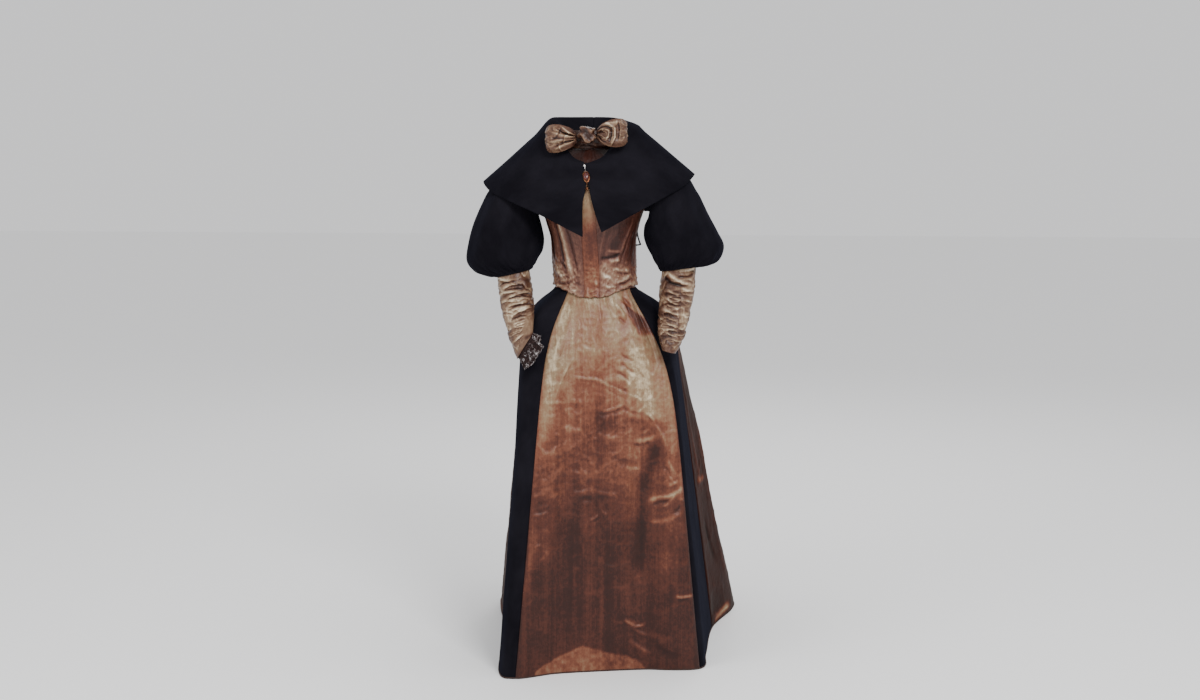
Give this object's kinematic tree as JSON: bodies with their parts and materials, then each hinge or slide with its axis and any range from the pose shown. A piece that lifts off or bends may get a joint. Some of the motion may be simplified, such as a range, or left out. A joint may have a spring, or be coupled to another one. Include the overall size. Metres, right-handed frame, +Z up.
{
  "type": "skirt suit",
  "caption": "Two-piece skirt suit: fitted pointed bodice with puffed sleeves, cape collar, bow and clasp, over a long gored skirt with velvet side panels and a fluted back.",
  "frame": {"origin": "between the shoulders, on the body's middle line 1.290 m above the hem, where the wearer holds the suit up", "axes": "+Z up, -Y is the wearer's front, +X is the wearer's left hand; the hem lies at Z -1.290"},
  "size_m": [0.6825, 1.058, 1.4068],
  "materials": {
    "satin_copper": "changeable silk satin, copper, creased",
    "satin_pale": "silk satin, pale beige, creased",
    "velvet": "blue-black cotton velvet pile",
    "lace": "brown and white gathered lace",
    "gold": "gilt metal",
    "garnet": "polished dark red cabochon"
  },
  "bodies": {
    "root": {"bodice_back_left": "satin_copper", "bodice_back_right": "satin_copper", "bodice_collar": "satin_pale", "bodice_front_left": "satin_copper", "bodice_front_right": "satin_copper", "bodice_vest": "satin_pale", "bow_knot": "satin_pale", "bow_loop_left": "satin_pale", "bow_loop_right": "satin_pale", "cape_left": "velvet", "cape_right": "velvet", "clasp_setting": "gold", "clasp_stone": "garnet", "cuff_frill_right": "lace", "lower_sleeve_left": "satin_pale", "lower_sleeve_right": "satin_pale", "puff_sleeve_left": "velvet", "puff_sleeve_right": "velvet", "side_loop": "velvet", "skirt_back_left": "satin_copper", "skirt_back_right": "satin_copper", "skirt_front_gore": "satin_copper", "skirt_side_gore_left": "satin_copper", "skirt_side_gore_right": "satin_copper", "skirt_velvet_left": "velvet", "skirt_velvet_right": "velvet", "skirt_waistband": "satin_copper"}
  },
  "joints": []
}
